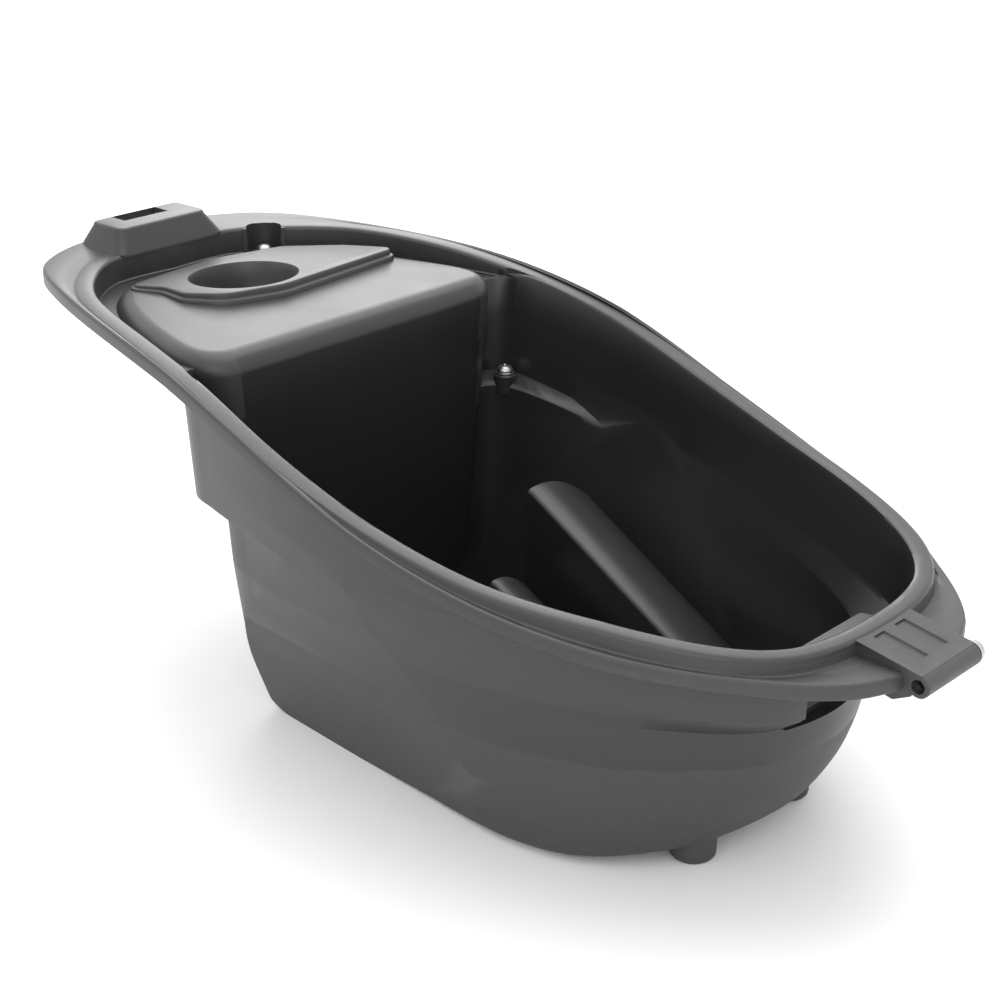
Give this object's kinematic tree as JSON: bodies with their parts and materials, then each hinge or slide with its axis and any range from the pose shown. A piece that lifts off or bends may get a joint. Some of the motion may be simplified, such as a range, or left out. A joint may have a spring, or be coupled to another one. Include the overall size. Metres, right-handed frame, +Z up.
{
  "type": "scooter under-seat storage bucket",
  "caption": "Deep moulded storage tub with a wide rim, a rear deck with a round filler opening, a latch block at the tail and a hinge tongue with its pin at the nose.",
  "frame": {"origin": "centre of the overall box at the level the tub stands on", "axes": "+X towards the hinge end, +Z up, +Y to the left as seen by someone facing +X"},
  "size_m": [0.655, 0.3276, 0.26],
  "materials": {
    "tub_plastic": "fine grain outside, satin inside",
    "pin_steel": "zinc plated",
    "screw_steel": "zinc plated",
    "washer_steel": "zinc plated",
    "plug_rubber": "matt"
  },
  "bodies": {
    "tub": {"storage_tub": "tub_plastic", "corner_screw_right": "screw_steel", "corner_screw_left": "screw_steel", "deck_screw": "screw_steel", "corner_washer_right": "washer_steel", "corner_washer_left": "washer_steel", "deck_washer": "washer_steel"},
    "pin": {"hinge_pin": "pin_steel", "hinge_pin_washer": "washer_steel"},
    "plug": {"drain_plug": "plug_rubber"}
  },
  "joints": [
    {"name": "hinge_pin_spin", "type": "hinge", "parent": "tub", "child": "pin", "pos_m": [0.319, 0, 0.138], "axis": [0, 1, 0], "continuous": true},
    {"name": "drain_plug_pull", "type": "slide", "parent": "tub", "child": "plug", "axis": [0, 0, 1], "range_m": [0, 0.02]}
  ]
}
